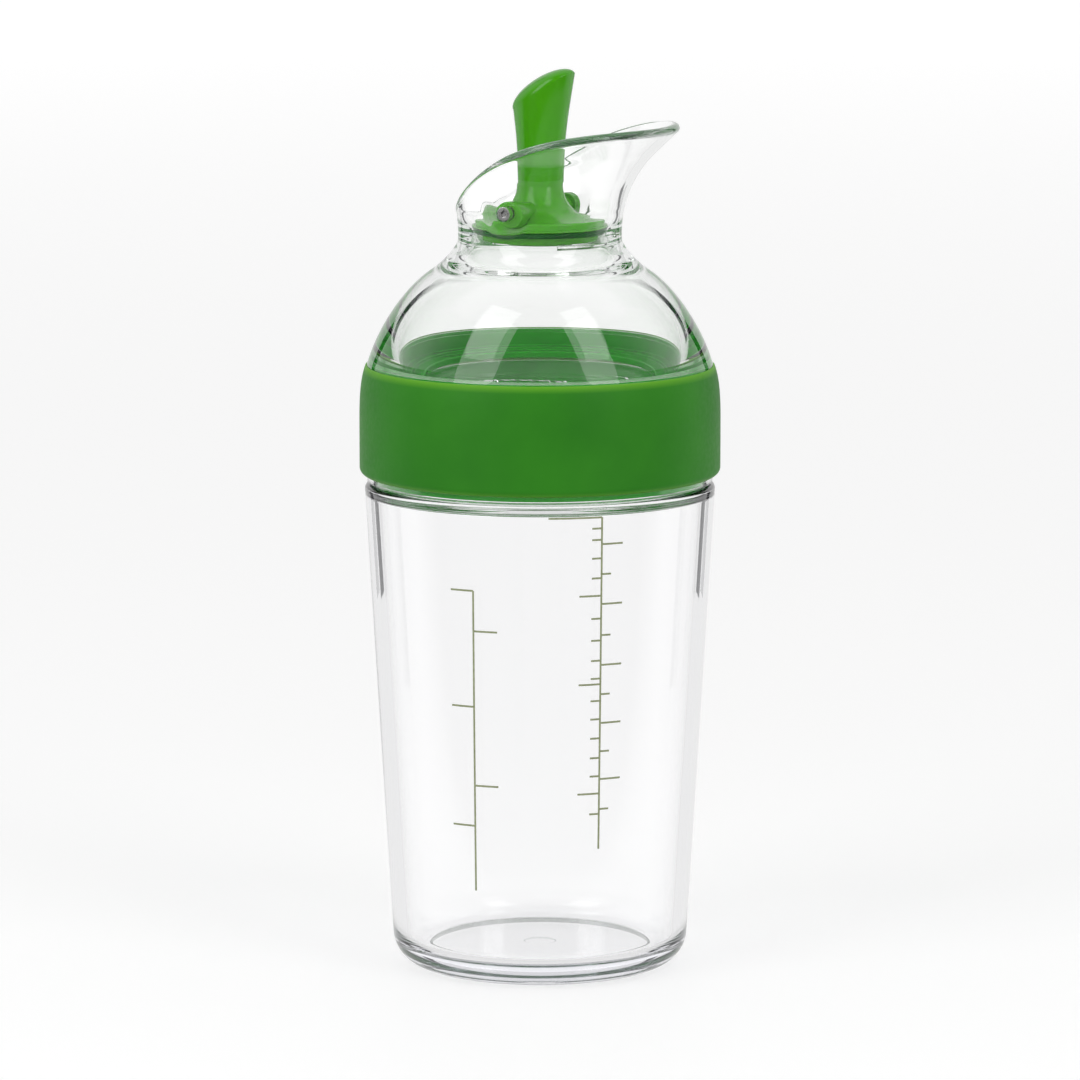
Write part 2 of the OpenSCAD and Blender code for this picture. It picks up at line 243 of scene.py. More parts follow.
# Materials; tones are screen colours from 0 to 255, and the steel's and the tints are linear colours
BRIGHT_TONES = ((62, 152, 0), (68, 158, 2))
INNER_TONES = ((24, 130, 20), (34, 142, 28))
SILICONE_TONES = ((110, 168, 92), (122, 178, 104))
SEAL_TONES = ((8, 72, 18), (14, 84, 24))
INK_TONES = ((136, 144, 106), (160, 167, 132))
BAND_TONES = ((38, 122, 16), (46, 132, 20))
# Painted glow: lighter greens painted on the band near its top and foot edges, for light that the thin
# rubber lets through; the two lengths below are how far each painted glow reaches
BAND_TOP_PAINTED_GLOW = (96, 168, 34)
BAND_FOOT_PAINTED_GLOW = (84, 156, 32)
BAND_LIT_TOP = 1.6
BAND_LIT_FOOT = 1.1
STEEL_DARK = (0.5, 0.5, 0.49)
STEEL_LIGHT = (0.66, 0.66, 0.66)
PLASTIC_IOR = 1.53
CUP_TINT = (0.80, 0.80, 0.85)
CUP_SHADOW = (0.8, 0.8, 0.81)
DOME_TINT = (0.72, 0.84, 0.75)
DOME_SHADOW = (0.9, 0.92, 0.9)
GLOSS_SPREAD = 0.15
# Painted glow: emission strength that lights the collar's bore below its ledge
BORE_PAINTED_GLOW = 0.32

# Smoothness of the meshes
AROUND = 320
LEVER_AROUND = 128
ROD_AROUND = 96
DOME_CURVE = 36
NECK_CURVE = 18
DISC_CURVE = 28
SPOUT_ROWS = 48
LIP_ROWS = 12
CAP_ROWS = 14
STEM_ROWS = 40
CURVE = 24
ARC = 8
UPRIGHT_STEPS = 24
TICK_STEPS = 8
RIM_STEPS = 60
EASE_HOLD = 0.12
FLAT_HOLD = 0.2
WALL_HOLD = 0.5
FOOT_HOLD = 0.6
ON_AXIS = 1e-6
SHARP_DEG = 32


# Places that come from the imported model, in millimetres

def box_mm(node):
    """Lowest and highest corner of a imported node's box."""
    low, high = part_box(node)
    return low / MM, high / MM


cup_high = box_mm("bottle_body")[1]
dome_low = box_mm("pour_dome")[0]
band_low, band_high = box_mm("grip_band")
collar_low, collar_high = box_mm("lid_collar")
ring_low, ring_high = box_mm("lid_gasket")
pin_low, pin_high = box_mm("hinge_pin")
lever_high = box_mm("stopper_lever")[1]
seal_low, seal_high = box_mm("stopper_gasket")
plug_high = box_mm("stopper_plug")[1]

lid_z = dome_low.z
shoulder_z = lid_z - SHOULDER_BELOW_SKIRT
cup_top_r = cup_high.x
neck_top = cup_high.z
taper = (cup_top_r - CUP_BASE_R) / shoulder_z
slant = math.hypot(1, taper)
neck_in_r = NECK_R - NECK_WALL
skirt_r = band_high.x - BAND_T - FIT_GAP
band_top = band_high.z
dome_foot = collar_high.z + FIT_GAP
neck_low = dome_foot + DOME_H
waist_z = neck_low - WAIST_DROP
flare_z = neck_low + SPOUT_NECK_H
throat_z = neck_low - SEAT_DROP
hinge_z = (pin_low.z + pin_high.z) / 2
pin_r = (pin_high.z - pin_low.z) / 2
seal_r = seal_high.x
flange_z = seal_high.z + FIT_GAP
seal_z = seal_low.z - FIT_GAP
flange_r = seal_r - SEAL_PROUD
tier_r = flange_r - TIER_IN
tier_z = flange_z + FLANGE_T
tier_top = tier_z + TIER_H
lever_top = lever_high.z
seat_r = math.hypot(seal_r, hinge_z - seal_z) + SEAT_GAP
throat_r = seal_r + THROAT_GAP
stop_z = throat_z + STOP_RISE
plug_z = stop_z + STOP_GAP
waist_r = SPOUT_NECK_R + WAIST_OUT


# Outlines, as lists of (radius, height)

def arc(cx, cz, r, a, b, n):
    """Points on an arc from angle a to angle b, in degrees."""
    turns = [math.radians(a + (b - a) * i / n) for i in range(n + 1)]
    return [(cx + r * math.cos(t), cz + r * math.sin(t)) for t in turns]


def bend(p, s, a, b, n=CURVE):
    """A cubic curve from p to s whose handles are shares a and b of the way in radius and height."""
    dr = s[0] - p[0]
    dz = s[1] - p[1]
    q = (p[0] + a[0] * dr, p[1] + a[1] * dz)
    r = (s[0] - b[0] * dr, s[1] - b[1] * dz)
    points = []
    for i in range(n + 1):
        t = i / n
        u = 1 - t
        k = (u ** 3, 3 * u * u * t, 3 * u * t * t, t ** 3)
        points.append(tuple(k[0] * p[j] + k[1] * q[j] + k[2] * r[j] + k[3] * s[j] for j in (0, 1)))
    return points


def eased(points, closed=False):
    """An outline whose corners, given as (radius, height, fillet), are rounded.

    A short hold on each side keeps the flats flat when they are shaded smooth.
    """
    n = len(points)
    out = []
    for i, point in enumerate(points):
        here = Vector(point[:2])
        fillet = point[2] if len(point) > 2 else 0
        inner = closed or 0 < i < n - 1
        if not fillet or not inner:
            out.append(tuple(here))
            continue
        before = Vector(points[i - 1][:2]) - here
        after = Vector(points[(i + 1) % n][:2]) - here
        half = before.angle(after) / 2
        cut = fillet / math.tan(half)
        to_before = before.normalized()
        to_after = after.normalized()
        start = here + to_before * cut
        end = here + to_after * cut
        middle = here + (to_before + to_after).normalized() * fillet / math.sin(half)
        if before.length > cut + 2 * EASE_HOLD:
            out.append(tuple(start + to_before * EASE_HOLD))
        first = start - middle
        sweep = first.angle_signed(end - middle)
        for k in range(ARC + 1):
            spoke = first.copy()
            spoke.rotate(Matrix.Rotation(-sweep * k / ARC, 2))
            out.append(tuple(middle + spoke))
        if after.length > cut + 2 * EASE_HOLD:
            out.append(tuple(end + to_after * EASE_HOLD))
    return out


def clamp(value):
    """The value, held between 0 and 1."""
    return max(0, min(1, value))


def soft_step(share):
    """A share from 0 to 1, eased at both ends."""
    return share * share * (3 - 2 * share)


def smooth_max(a, b, blend):
    """The larger of a and b, eased where they meet."""
    return (a + b + math.sqrt((a - b) ** 2 + blend ** 2)) / 2


def cone_r(z, wall=0):
    """Radius of the cup's cone at a height, set in from its outside by a wall."""
    return CUP_BASE_R + taper * z - wall * slant


def corner(z, r, wall=0):
    """Middle of an arc of radius r that touches the cone."""
    return cone_r(z, wall) - r * slant, z


# Meshes

def finish_mesh(name, verts, faces):
    """An object of those millimetre vertices and faces, outward-facing and smooth, sharp edges kept."""
    mesh = bpy.data.meshes.new(name)
    mesh.from_pydata([(x * MM, y * MM, z * MM) for x, y, z in verts], [], faces)
    work = bmesh.new()
    work.from_mesh(mesh)
    bmesh.ops.recalc_face_normals(work, faces=work.faces)
    work.to_mesh(mesh)
    work.free()
    obj = bpy.data.objects.new(name, mesh)
    bpy.context.scene.collection.objects.link(obj)
    smooth(obj)
    return obj


def smooth(obj):
    """Smooth shading, with the sharp edges kept."""
    obj.data.shade_smooth()
    obj.data.set_sharp_from_angle(angle=math.radians(SHARP_DEG))


def skin(name, rings, closed=False):
    """A mesh over rings of equal length, of which a ring of one point is a pole.

    With closed, the last ring joins the first.
    """
    verts = []
    starts = []
    for ring in rings:
        starts.append(len(verts))
        verts.extend(ring)
    faces = []
    count = len(rings)
    for k in range(count if closed else count - 1):
        after = (k + 1) % count
        a, b = rings[k], rings[after]
        sa, sb = starts[k], starts[after]
        n = max(len(a), len(b))
        for i in range(n):
            j = (i + 1) % n
            if len(a) == 1:
                faces.append((sa, sb + i, sb + j))
            elif len(b) == 1:
                faces.append((sa + i, sb, sa + j))
            else:
                faces.append((sa + i, sb + i, sb + j, sa + j))
    return finish_mesh(name, verts, faces)


def around(n=AROUND):
    """Angles of n even steps round the axis."""
    return [2 * math.pi * i / n for i in range(n)]


def circle(r, z, n):
    """A level ring of n points."""
    return [(r * math.cos(t), r * math.sin(t), z) for t in around(n)]


def turned(outline, n=AROUND):
    """Rings of a turned outline. A point on the axis is a pole."""
    return [[(0, 0, z)] if r < ON_AXIS else circle(r, z, n) for r, z in outline]


def lathe(name, outline, closed=False):
    """A turned mesh."""
    return skin(name, turned(outline), closed)


def thread_height(angle, z, phase):
    """Share of the ridge's full height at a place on a thread."""
    u = (z - THREAD_LEAD * angle / (2 * math.pi) - phase) % THREAD_PITCH
    off = min(u, THREAD_PITCH - u)
    return clamp((THREAD_FOOT - off) / (THREAD_FOOT - THREAD_CREST))


def threaded_rings(r, low, high, height, phase):
    """Rings of a cylinder with the thread's ridges, which fade out at both ends."""
    count = round((high - low) / THREAD_STEP)
    rings = []
    for k in range(count + 1):
        z = low + (high - low) * k / count
        fade = clamp(min(z - low, high - z) / THREAD_FADE - THREAD_START)
        ring = []
        for t in around():
            ridge_r = r + height * fade * thread_height(t, z, phase)
            ring.append((ridge_r * math.cos(t), ridge_r * math.sin(t), z))
        rings.append(ring)
    return rings


def drill(obj, name, half_length, radius):
    """Cuts the hinge pin's hole along Y through obj."""
    tool = along_y(name, eased_rod(half_length, radius))
    cut = obj.modifiers.new("hole", "BOOLEAN")
    cut.operation = "DIFFERENCE"
    cut.solver = "MANIFOLD"
    cut.object = tool
    bake_modifiers(obj)
    bpy.data.objects.remove(tool)


def unite(obj, *others):
    """Adds the other meshes to obj and removes them."""
    for other in others:
        join = obj.modifiers.new("join", "BOOLEAN")
        join.operation = "UNION"
        join.solver = "MANIFOLD"
        join.object = other
    bake_modifiers(obj)
    for other in others:
        bpy.data.objects.remove(other)


def bake_modifiers(obj):
    """Applies obj's modifiers to its mesh."""
    graph = bpy.context.evaluated_depsgraph_get()
    mesh = bpy.data.meshes.new_from_object(obj.evaluated_get(graph))
    obj.modifiers.clear()
    obj.data = mesh
    smooth(obj)


def eased_rod(half, r, ease=0.0, dimple=0.0):
    """Half outline of a rod along its axis, as (radius, place), with eased ends."""
    points = [(0, -half + dimple)]
    bowl_r = r * DIMPLE_SHARE
    if dimple:
        points += [(bowl_r, -half + dimple, DIMPLE_FILLET), (bowl_r, -half, DIMPLE_EDGE)]
    points += [(r, -half, ease), (r, half, ease)]
    if dimple:
        points += [(bowl_r, half, DIMPLE_EDGE), (bowl_r, half - dimple, DIMPLE_FILLET)]
    points.append((0, half - dimple))
    return eased(points)


def along_y(name, outline, middle_y=0.0):
    """A turned mesh about the hinge's axis."""
    rings = []
    for r, place in outline:
        y = middle_y + place
        if r < ON_AXIS:
            rings.append([(0, y, hinge_z)])
        else:
            rings.append([(r * math.cos(t), y, hinge_z + r * math.sin(t)) for t in around(ROD_AROUND)])
    return skin(name, rings)


# Materials

class Tree:
    """A node tree, with short ways to add nodes and to tell straight light from mirrored light."""

    def __init__(self, tree):
        self.tree = tree

    def add(self, kind, **settings):
        """A new node of one kind, with its settings."""
        node = self.tree.nodes.new("ShaderNode" + kind)
        for key, value in settings.items():
            setattr(node, key, value)
        return node

    def link(self, a, b):
        """Joins an output to an input."""
        self.tree.links.new(a, b)

    def calc(self, operation, a, b):
        """A Math node of two sockets or numbers."""
        node = self.add("Math", operation=operation)
        for socket, value in zip(node.inputs, (a, b)):
            if isinstance(value, bpy.types.NodeSocket):
                self.link(value, socket)
            else:
                socket.default_value = value
        return node.outputs[0]

    def span(self, value, low, high, to_low, to_high):
        """value mapped from low..high to to_low..to_high, and held at the ends."""
        node = self.add("MapRange")
        for key, number in zip(("From Min", "From Max", "To Min", "To Max"), (low, high, to_low, to_high)):
            node.inputs[key].default_value = number
        self.link(value, node.inputs["Value"])
        return node.outputs["Result"]

    def forward(self, vector):
        """How far a place or direction lies towards the photograph's side of the studio."""
        a = math.radians(CAMERA_AZIMUTH)
        node = self.add("VectorMath", operation="DOT_PRODUCT")
        node.inputs[1].default_value = (math.sin(a), -math.cos(a), 0)
        self.link(vector, node.inputs[0])
        return node.outputs["Value"]

    def straight(self):
        """1 for light that reaches the eye straight or through clear plastic, 0 where it was mirrored."""
        path = self.add("LightPath")
        looked = self.calc("MAXIMUM", path.outputs["Is Camera Ray"], path.outputs["Is Transmission Ray"])
        mirrored = self.calc("MINIMUM", path.outputs["Glossy Depth"], 1)
        return self.calc("MAXIMUM", self.calc("SUBTRACT", looked, mirrored), 0)

    def mirrored(self):
        """1 for light that was mirrored on its way to the eye."""
        path = self.add("LightPath")
        seen = self.calc("MAXIMUM", path.outputs["Is Glossy Ray"], path.outputs["Is Transmission Ray"])
        return self.calc("MINIMUM", seen, path.outputs["Glossy Depth"])

    def studio_level(self, forward, back, front):
        """Brightness of mirrored light from a place that lies that far forward.

        The front is lighter where the light was mirrored inside clear plastic.
        """
        inside = self.add("LightPath").outputs["Is Transmission Ray"]
        dark = self.span(inside, 0, 1, FRONT_LEVEL, INNER_FRONT_LEVEL)
        share = self.span(forward, back, front, 0, 1)
        return self.calc("ADD", self.calc("MULTIPLY", share, dark), self.span(share, 0, 1, BACK_LEVEL, 0))


class Nodes(Tree):
    """A new node material with one Principled shader."""

    def __init__(self, name):
        self.material = bpy.data.materials.new(name)
        self.material.use_nodes = True
        super().__init__(self.material.node_tree)
        self.shader = self.tree.nodes["Principled BSDF"]
        self.output = self.tree.nodes["Material Output"]
        self.place = self.add("TexCoord").outputs["Object"]

    def set(self, **values):
        """Sets the shader's sockets, whose names have _ for each space."""
        for key, value in values.items():
            self.shader.inputs[key.replace("_", " ")].default_value = value

    def noise(self, scale, detail, stretch=(1, 1, 1)):
        """Noise with about scale features to the metre."""
        mapping = self.add("Mapping")
        mapping.inputs["Scale"].default_value = stretch
        texture = self.add("TexNoise")
        texture.inputs["Scale"].default_value = scale
        texture.inputs["Detail"].default_value = detail
        self.link(self.place, mapping.inputs["Vector"])
        self.link(mapping.outputs["Vector"], texture.inputs["Vector"])
        return texture.outputs["Fac"]

    def height(self):
        """Height over the table, in metres."""
        parts = self.add("SeparateXYZ")
        self.link(self.place, parts.inputs["Vector"])
        return parts.outputs["Z"]

    def mix(self, fac, a, b):
        """Colour a where the factor is 0 and b where it is 1; each is a socket or three numbers."""
        node = self.add("Mix", data_type="RGBA")
        self.link(fac, node.inputs["Factor"])
        for socket, value in ((node.inputs[6], a), (node.inputs[7], b)):
            if isinstance(value, bpy.types.NodeSocket):
                self.link(value, socket)
            else:
                socket.default_value = (*value, 1)
        return node.outputs[2]

    def speckle(self, dark, light, scale, detail, low, high):
        """Two close tones in the pattern of a noise."""
        return self.mix(self.span(self.noise(scale, detail), low, high, 0, 1), dark, light)

    def uneven_gloss(self, scale, detail, smooth, rough):
        """Roughness between two values in the pattern of a noise."""
        gloss = self.span(self.noise(scale, detail), 0.3, 0.7, smooth, rough)
        self.link(gloss, self.shader.inputs["Roughness"])

    def split(self, fac, at_0, at_1):
        """Shows one shader where the factor is 0 and the other where it is 1."""
        node = self.add("MixShader")
        self.link(fac, node.inputs["Fac"])
        self.link(at_0, node.inputs[1])
        self.link(at_1, node.inputs[2])
        return node.outputs["Shader"]

    def bump(self, value, depth, strength):
        """Relief of value, depth metres high."""
        node = self.add("Bump")
        node.inputs["Strength"].default_value = strength
        node.inputs["Distance"].default_value = depth
        self.link(value, node.inputs["Height"])
        self.link(node.outputs["Normal"], self.shader.inputs["Normal"])


def linear(tone):
    """Linear colour of a screen colour."""
    return tuple(((c / 255 + 0.055) / 1.055) ** 2.4 if c > 10 else c / 255 / 12.92 for c in tone)


def clear_plastic(name, tint, density, shadow):
    """Clear moulded plastic: a trace of waviness, a faint tint through its thickness, and a pale shadow."""
    m = Nodes(name)
    m.set(Base_Color=(1, 1, 1, 1), Transmission_Weight=1.0, IOR=PLASTIC_IOR)
    m.uneven_gloss(scale=300, detail=2, smooth=0.0, rough=0.02)
    m.bump(m.noise(scale=26, detail=1, stretch=(1, 1, 0.35)), depth=0.0002, strength=0.12)
    through = m.add("BsdfTransparent")
    through.inputs["Color"].default_value = (*shadow, 1)
    shadowed = m.add("LightPath").outputs["Is Shadow Ray"]
    either = m.split(shadowed, m.shader.outputs["BSDF"], through.outputs["BSDF"])
    m.link(either, m.output.inputs["Surface"])
    depth = m.add("VolumeAbsorption")
    depth.inputs["Color"].default_value = (*tint, 1)
    depth.inputs["Density"].default_value = density
    m.link(depth.outputs["Volume"], m.output.inputs["Volume"])
    return m.material


def band_rubber(name):
    """Soft green grip: matte with a faint sheen, and a painted glow: lighter green painted along its top and
    foot edges, for light that its thin edges let through.
    """
    m = Nodes(name)
    body = m.speckle(*map(linear, BAND_TONES), scale=45, detail=4, low=0.35, high=0.65)
    # Painted glow: masks that lighten the band's colour near its top and near its foot
    z = m.height()
    top = m.span(z, (band_top - BAND_LIT_TOP) * MM, (band_top - 0.1) * MM, 0, 1)
    foot = m.span(z, (band_low.z + BAND_LIT_FOOT) * MM, band_low.z * MM, 0, 1)
    lit = m.mix(top, body, linear(BAND_TOP_PAINTED_GLOW))
    lit = m.mix(foot, lit, linear(BAND_FOOT_PAINTED_GLOW))
    m.link(lit, m.shader.inputs["Base Color"])
    m.uneven_gloss(scale=900, detail=5, smooth=0.46, rough=0.58)
    m.set(Sheen_Weight=0.04, Sheen_Roughness=0.4, Specular_IOR_Level=0.22)
    m.bump(m.noise(scale=5200, detail=3), depth=0.00002, strength=0.25)
    return m.material


def moulded_plastic(name, tones, rough, glow=0.0, shine=0.25, painted_bore_glow=0.0):
    """Moulded plastic with two close tones, fine texture and uneven gloss.

    The last argument is painted light: an emission glow in the plastic's own colour below the ledge, for the
    light that the collar's wall lets through into its bore.
    """
    m = Nodes(name)
    tone = m.speckle(*map(linear, tones), scale=60, detail=4, low=0.3, high=0.7)
    m.link(tone, m.shader.inputs["Base Color"])
    spread = rough * GLOSS_SPREAD
    m.uneven_gloss(scale=700, detail=4, smooth=rough - spread, rough=rough + spread)
    m.set(Subsurface_Weight=glow, Subsurface_Scale=0.0025, Subsurface_Radius=(0.5, 1.0, 0.25))
    m.set(Specular_IOR_Level=shine)
    m.bump(m.noise(scale=2600, detail=3), depth=0.00001, strength=0.2)
    if painted_bore_glow:
        # Painted glow: the collar glows in its own colour below the ledge, for light let through its wall
        under = m.span(m.height(), (LEDGE_Z - 1) * MM, LEDGE_Z * MM, painted_bore_glow, 0)
        m.link(tone, m.shader.inputs["Emission Color"])
        m.link(under, m.shader.inputs["Emission Strength"])
    return m.material


def steel(name):
    """Turned steel with small stains."""
    m = Nodes(name)
    tone = m.speckle(STEEL_DARK, STEEL_LIGHT, scale=2500, detail=4, low=0.35, high=0.7)
    m.link(tone, m.shader.inputs["Base Color"])
    m.set(Metallic=1.0)
    m.uneven_gloss(scale=3000, detail=4, smooth=0.24, rough=0.4)
    return m.material


def print_ink(name):
    """Thin printed ink with a slightly uneven cover."""
    m = Nodes(name)
    tone = m.speckle(*map(linear, INK_TONES), scale=1500, detail=3, low=0.3, high=0.7)
    m.link(tone, m.shader.inputs["Base Color"])
    m.uneven_gloss(scale=1200, detail=2, smooth=0.4, rough=0.6)
    return m.material


def give(obj, material, slot, body, *nodes):
    """Gives a new piece its material and its body, and hides the CAD nodes that it stands for; the record
    slot is not used.
    """
    obj.data.materials.clear()
    obj.data.materials.append(material)
    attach(obj, body)
    if nodes:
        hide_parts(*nodes)


# Pieces

def on_cone(z, wall=0):
    """Point of an outline on the cup's cone, set in from its outside by a wall."""
    return cone_r(z, wall), z


def cup_inside():
    """Outline of the bottle's inside, from the middle of its floor over the rim to the neck's outside."""
    lean = math.degrees(math.atan(taper))
    inner_z = shoulder_z - SHOULDER_WALL
    cx, cz = corner(FLOOR_Z + FLOOR_ROUND, FLOOR_ROUND, CUP_WALL)
    inside = [(0, FLOOR_Z), (cx / 2, FLOOR_Z), (cx - FLAT_HOLD, FLOOR_Z)]
    inside += arc(cx, cz, FLOOR_ROUND, -90, -lean, n=12)
    inside += [on_cone(cz + WALL_HOLD, CUP_WALL), on_cone(inner_z - 2, CUP_WALL)]
    lip = [on_cone(inner_z - 1.5, CUP_WALL),
           (*on_cone(inner_z, CUP_WALL), INNER_ROUND),
           (neck_in_r, inner_z + INNER_RISE, INNER_ROUND),
           (neck_in_r, neck_top, LIP_IN_ROUND),
           (NECK_R, neck_top, LIP_OUT_ROUND),
           (NECK_R, shoulder_z)]
    return inside + eased(lip)[:-1]


def cup_outside():
    """Outline of the bottle's outside, from under the thread to the middle of its underside."""
    lean = math.degrees(math.atan(taper))
    sx, sz = corner(shoulder_z - SHOULDER_ROUND, SHOULDER_ROUND)
    foot_x, foot_z = corner(BASE_ROUND, BASE_ROUND)
    recess_r = foot_x - FOOT_W
    gate_z = RECESS_DEPTH + GATE_DEPTH
    outside = eased([(NECK_R, neck_top - 3), (NECK_R, shoulder_z, NECK_FILLET), (sx, shoulder_z)])[1:-1]
    outside += [(sx - FLAT_HOLD, shoulder_z)]
    outside += arc(sx, sz, SHOULDER_ROUND, 90, -lean, n=10)
    outside += [on_cone(sz - WALL_HOLD), on_cone(BASE_ROUND + FOOT_HOLD)]
    outside += arc(foot_x, foot_z, BASE_ROUND, -lean, -90, n=24)
    under = [(foot_x, 0),
             (recess_r, 0, FOOT_FILLET),
             (recess_r, RECESS_DEPTH, FOOT_FILLET),
             (GATE_R, RECESS_DEPTH, GATE_FILLET),
             (GATE_R, gate_z, GATE_FILLET),
             (0, gate_z)]
    return outside + eased(under)[1:]


def make_bottle():
    """Clear cup with a thick base, a rounded shoulder and a threaded neck."""
    thread_low = shoulder_z + NECK_PLAIN_FOOT
    rings = turned(cup_inside())
    rings += threaded_rings(NECK_R, thread_low, neck_top - NECK_PLAIN_TOP, THREAD_H, 0)[::-1]
    rings += turned(cup_outside())
    return skin("bottle", rings)


def make_print():
    """The graduation lines, as thin strips that follow the cup's cone."""
    verts = []
    faces = []

    def place(angle, z, lift):
        """A place on the cup, from an angle and height."""
        t = math.radians(angle + PRINT_FACING)
        r = cone_r(z) + lift
        return r * math.cos(t), r * math.sin(t), z

    def strip(points, across):
        """A closed strip through (angle, height) points, with the line's width along the cup or round it."""
        start = len(verts)
        for angle, z in points:
            wide = math.degrees(PRINT_LINE / 2 / cone_r(z)) if across else 0
            tall = 0 if across else PRINT_LINE / 2
            for side, lift in ((-1, -PRINT_SUNK), (1, -PRINT_SUNK), (1, PRINT_PROUD), (-1, PRINT_PROUD)):
                verts.append(place(angle + side * wide, z + side * tall, lift))
        for k in range(len(points) - 1):
            a = start + 4 * k
            for i in range(4):
                j = (i + 1) % 4
                faces.append((a + i, a + j, a + 4 + j, a + 4 + i))
        faces.append((start, start + 1, start + 2, start + 3))
        end = start + 4 * (len(points) - 1)
        faces.append((end + 3, end + 2, end + 1, end))

    def line_angle(scale, z):
        """Angle of a slightly leaning scale at a height."""
        (a, za), (b, zb) = scale["low"], scale["high"]
        return a + (b - a) * (z - za) / (zb - za)

    def upright(scale):
        """The long line of a scale."""
        low, high = scale["low"][1], scale["high"][1]
        heights = [low + (high - low) * i / UPRIGHT_STEPS for i in range(UPRIGHT_STEPS + 1)]
        strip([(line_angle(scale, z), z) for z in heights], True)

    def tick(scale, z, length):
        """A short line to the right of a scale, or to the left where its length is negative."""
        start = line_angle(scale, z)
        turn = math.degrees(length / cone_r(z))
        strip([(start + turn * i / TICK_STEPS, z) for i in range(TICK_STEPS + 1)], False)

    upright(RIGHT_SCALE)
    upright(LEFT_SCALE)
    rows = ((RIGHT_SCALE, RIGHT_LONG, LONG_TICK),
            (RIGHT_SCALE, RIGHT_SHORT, SHORT_TICK),
            (RIGHT_SCALE, RIGHT_BACK_LONG, -LONG_TICK),
            (RIGHT_SCALE, RIGHT_BACK_SHORT, -SHORT_TICK),
            (RIGHT_SCALE, (RIGHT_SCALE["high"][1],), -TOP_TICK),
            (LEFT_SCALE, LEFT_RIGHT_TICKS, LEFT_TICK),
            (LEFT_SCALE, LEFT_LEFT_TICKS, -LEFT_TICK))
    for scale, heights, length in rows:
        for z in heights:
            tick(scale, z, length)
    return finish_mesh("graduation_lines", verts, faces)


def make_gasket():
    """Soft ring between the bottle's rim and the collar's ledge."""
    outline = [(neck_in_r, ring_low.z, GASKET_BEVEL),
               (ring_high.x, ring_low.z, GASKET_BEVEL),
               (ring_high.x, ring_high.z, GASKET_BEVEL),
               (neck_in_r, ring_high.z, GASKET_BEVEL)]
    return lathe("sealing_ring", eased(outline, True), True)


def make_collar():
    """Rigid collar with a threaded bore, a ledge over the gasket and a low step round it."""
    low = collar_low.z
    out_r = collar_high.x
    top = collar_high.z
    ledge_top = LEDGE_Z + LEDGE_T
    step_r = COLLAR_IN_R - STEP_W
    outline = [(COLLAR_BORE_R, LEDGE_Z - 6),
               (COLLAR_BORE_R, LEDGE_Z, 0.2),
               (LEDGE_R, LEDGE_Z, 0.4),
               (LEDGE_R, ledge_top, 0.5),
               (step_r, ledge_top, 0.35),
               (step_r, ledge_top + STEP_H, 0.3),
               (COLLAR_IN_R, ledge_top + STEP_H, 0.4),
               (COLLAR_IN_R, top - COLLAR_BEVEL, 0.4),
               (COLLAR_IN_R + COLLAR_BEVEL, top, 0.4),
               (out_r, top, 0.3),
               (out_r, low, 0.3),
               (COLLAR_BORE_R + COLLAR_LEAD_IN, low, 0.3),
               (COLLAR_BORE_R, low + COLLAR_LEAD_IN)]
    thread_low = low + COLLAR_PLAIN_FOOT
    thread_high = LEDGE_Z - COLLAR_PLAIN_TOP
    rings = turned(eased(outline)[1:])
    rings += threaded_rings(COLLAR_BORE_R, thread_low, thread_high, -COLLAR_THREAD_H, THREAD_PITCH / 2)
    return skin("collar", rings, True)


def make_band():
    """Soft band round the skirt, curved in at the top."""
    in_r = skirt_r + FIT_GAP
    r = band_high.x
    lip_r = in_r + BAND_LIP
    curve_z = band_top - BAND_CURVE_H
    low = band_low.z
    outline = [(in_r, low + 0.2), (in_r + 0.1, low)]
    outline += arc(r - BAND_ROUND, low + BAND_ROUND, BAND_ROUND, -90, 0, n=10)
    outline += [(r, low + BAND_ROUND + 0.4)]
    outline += bend((r, curve_z), (lip_r, band_top - BAND_LIP_CUT), *BAND_HANDLES)
    outline += [(lip_r - BAND_LIP_CUT, band_top), (in_r, band_top), (in_r, band_top - 0.4)]
    return lathe("grip", outline, True)


def flare(z, wall=0.0):
    """Radius of the spout's flared wall at a height, set in by a wall."""
    centre = SPOUT_NECK_R + FLARE_R
    r = FLARE_R + wall
    up = z - flare_z
    turn = math.radians(FLARE_ANGLE)
    if up <= 0:
        return centre - r
    if up <= r * math.sin(turn):
        return centre - math.sqrt(r * r - up * up)
    return centre - r * math.cos(turn) + (up - r * math.sin(turn)) * math.tan(turn)


def spout_inside(z):
    """Radius of the spout's inside: the stopper's spherical seat, which runs smoothly into the flare."""
    ball = math.sqrt(max(0, seat_r ** 2 - (z - hinge_z) ** 2))
    wide = flare(z, SPOUT_WALL) - SEAT_TAPER * max(0, hinge_z - z)
    return smooth_max(smooth_max(ball, throat_r, SEAT_BLEND), wide, SEAT_BLEND)


def rim_height(x):
    """Height of the slanting rim over a place along X."""
    return hinge_z + RIM_TOP_H - RIM_ARC_R + math.sqrt(RIM_ARC_R ** 2 - (x - RIM_TOP_X) ** 2)


def meets_rim(angle, radius_at):
    """Height at which a wall reaches the rim in one direction, found by halving what is left each time."""
    z = hinge_z + 5
    for _ in range(RIM_STEPS):
        z += (rim_height(radius_at(z) * math.cos(angle)) - z) / 2
    return z


def wall_out(angle, z):
    """The spout's outside radius in one direction, with a soft swelling round the pin."""
    r = flare(z)
    x, y = r * math.cos(angle), r * math.sin(angle)
    near = 1 - math.hypot(x, z - hinge_z) / (BOSS_R + BOSS_SPREAD)
    swell = clamp(near * BOSS_STEEPNESS)
    face = SPOUT_NECK_R + BOSS_OUT
    lift = max(0, face / max(abs(math.sin(angle)), 0.5) - r)
    return r + lift * soft_step(swell) if abs(y) > 1 else r


